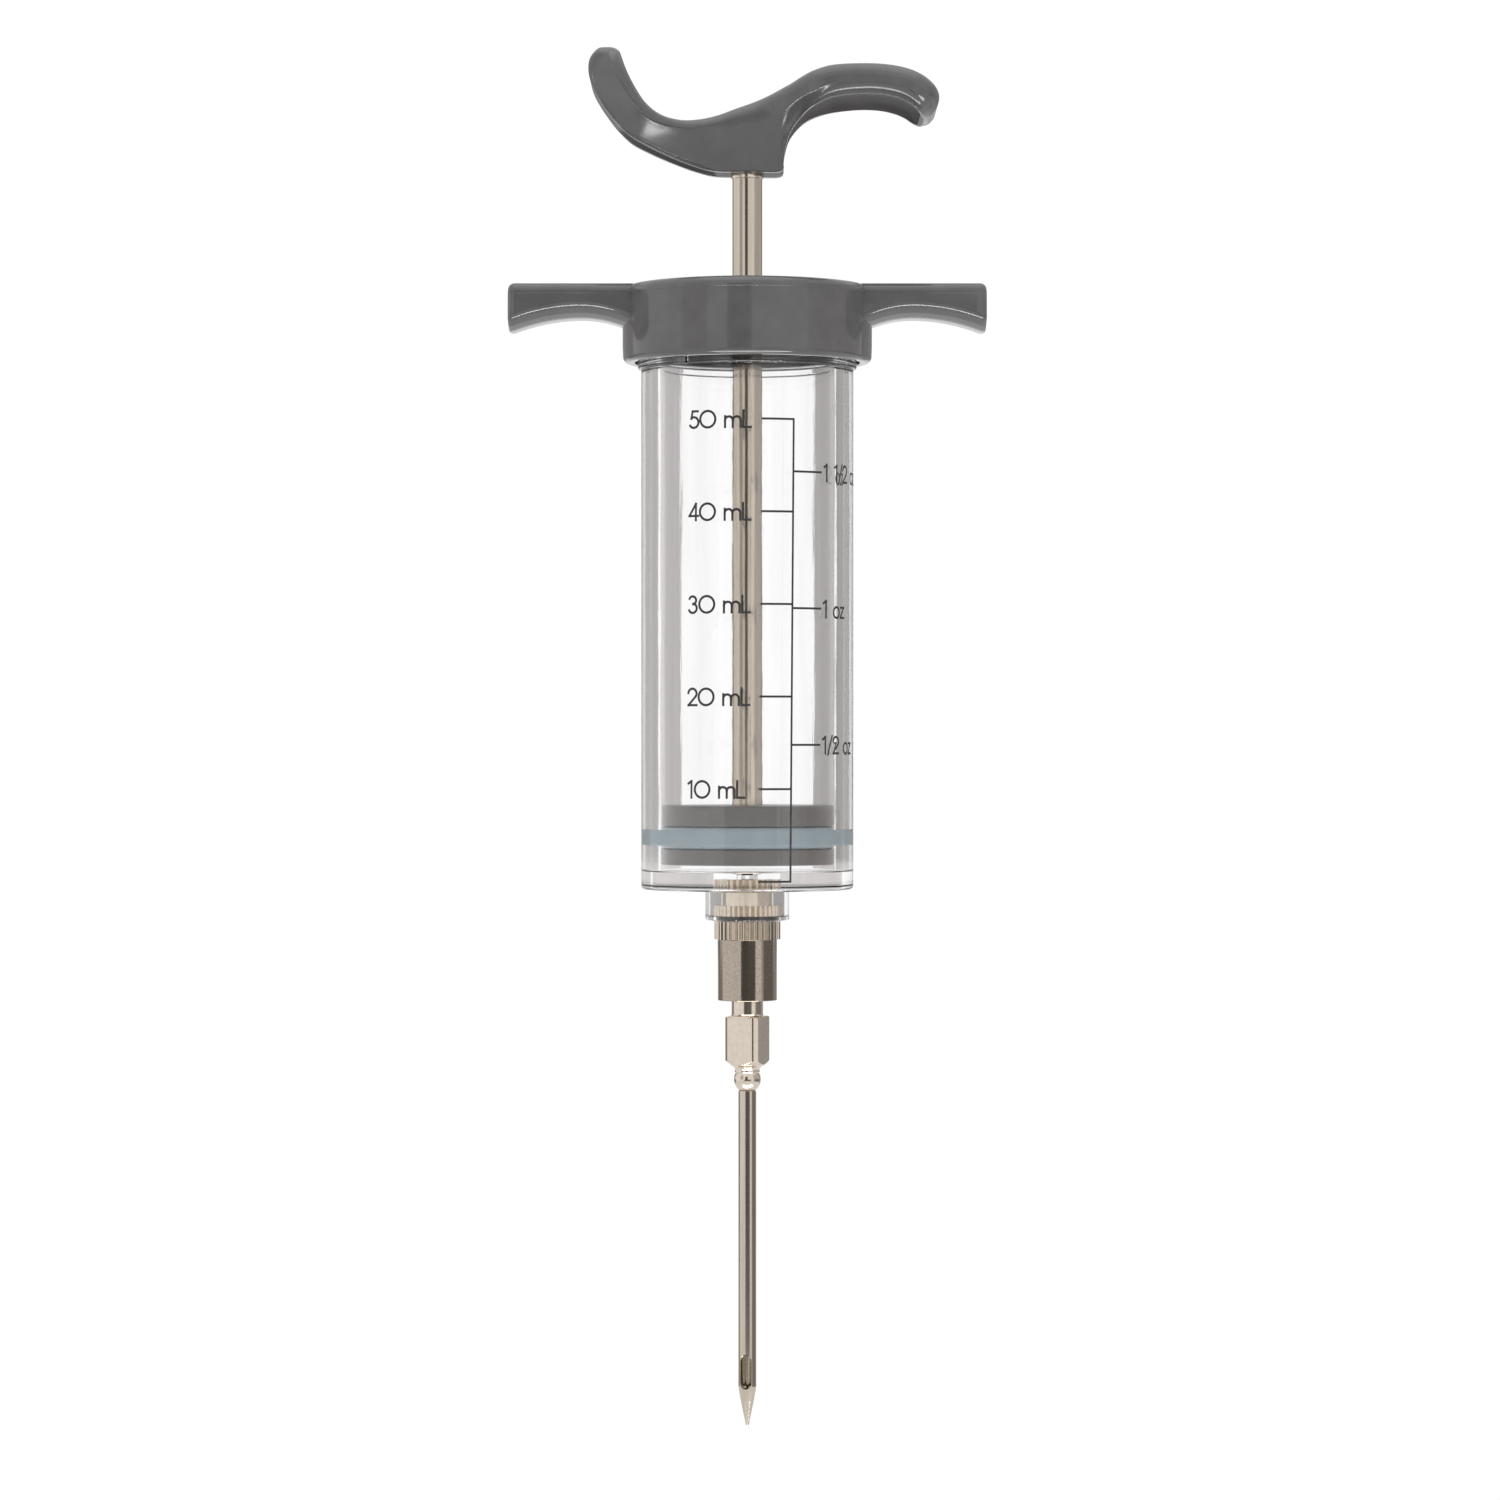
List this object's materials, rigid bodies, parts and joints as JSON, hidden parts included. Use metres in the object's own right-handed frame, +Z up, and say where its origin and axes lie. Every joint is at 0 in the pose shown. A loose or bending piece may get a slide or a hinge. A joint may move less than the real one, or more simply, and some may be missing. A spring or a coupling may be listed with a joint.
{
  "type": "meat injector",
  "caption": "Hand syringe for brine: S-shaped palm handle on a plunger rod, winged bayonet cap, clear barrel, and a long side-port needle on a luer-lock tip fitting.",
  "frame": {"origin": "on the barrel's axis at the zero line of the scale, 1.3 mm below the chamber floor", "axes": "+Z up the barrel towards the handle, finger wings along X, scale facing -Y"},
  "size_m": [0.0792, 0.0418, 0.2289],
  "materials": {
    "clear_acrylic": "gloss",
    "grey_abs": "gloss",
    "grey_piston": "satin",
    "silicone": "satin",
    "black_rubber": "satin",
    "stainless": "polished",
    "plated_metal": "polished nickel plate"
  },
  "bodies": {
    "barrel_body": {"barrel": "clear_acrylic", "neck_insert": "plated_metal"},
    "cap_body": {"cap": "grey_abs"},
    "seal_body": {"piston_seal": "silicone"},
    "plunger_body": {"handle": "grey_abs", "handle_insert": "plated_metal", "plunger_rod": "stainless", "piston_upper": "grey_piston", "piston_lower": "grey_piston"},
    "ring_body": {"tip_ring": "black_rubber"},
    "fitting_body": {"luer_fitting": "plated_metal", "luer_sleeve": "plated_metal"},
    "needle_body": {"needle_hub": "plated_metal", "needle_tube": "stainless"}
  },
  "joints": [
    {"name": "plunger_slide", "type": "slide", "parent": "barrel_body", "child": "seal_body", "axis": [0, 0, 1], "range_m": [-0.0011, 0.078]},
    {"name": "plunger_spin", "type": "hinge", "parent": "seal_body", "child": "plunger_body", "pos_m": [0, 0, 0.007], "axis": [0, 0, 1], "continuous": true},
    {"name": "cap_turn", "type": "hinge", "parent": "barrel_body", "child": "cap_body", "pos_m": [0, 0, 0.09], "axis": [0, 0, 1], "range_deg": [0, 50]},
    {"name": "fitting_slide", "type": "slide", "parent": "barrel_body", "child": "ring_body", "axis": [0, 0, -1], "range_m": [0, 0.004]},
    {"name": "fitting_turn", "type": "hinge", "parent": "ring_body", "child": "fitting_body", "pos_m": [0, 0, -0.0085], "axis": [0, 0, -1], "range_deg": [0, 1802]},
    {"name": "needle_turn", "type": "hinge", "parent": "fitting_body", "child": "needle_body", "pos_m": [0, 0, -0.0215], "axis": [0, 0, -1], "range_deg": [0, 90]}
  ],
  "couplings": [
    {"joint": "fitting_turn", "follows": "fitting_slide", "rad_per_m": 7854}
  ]
}
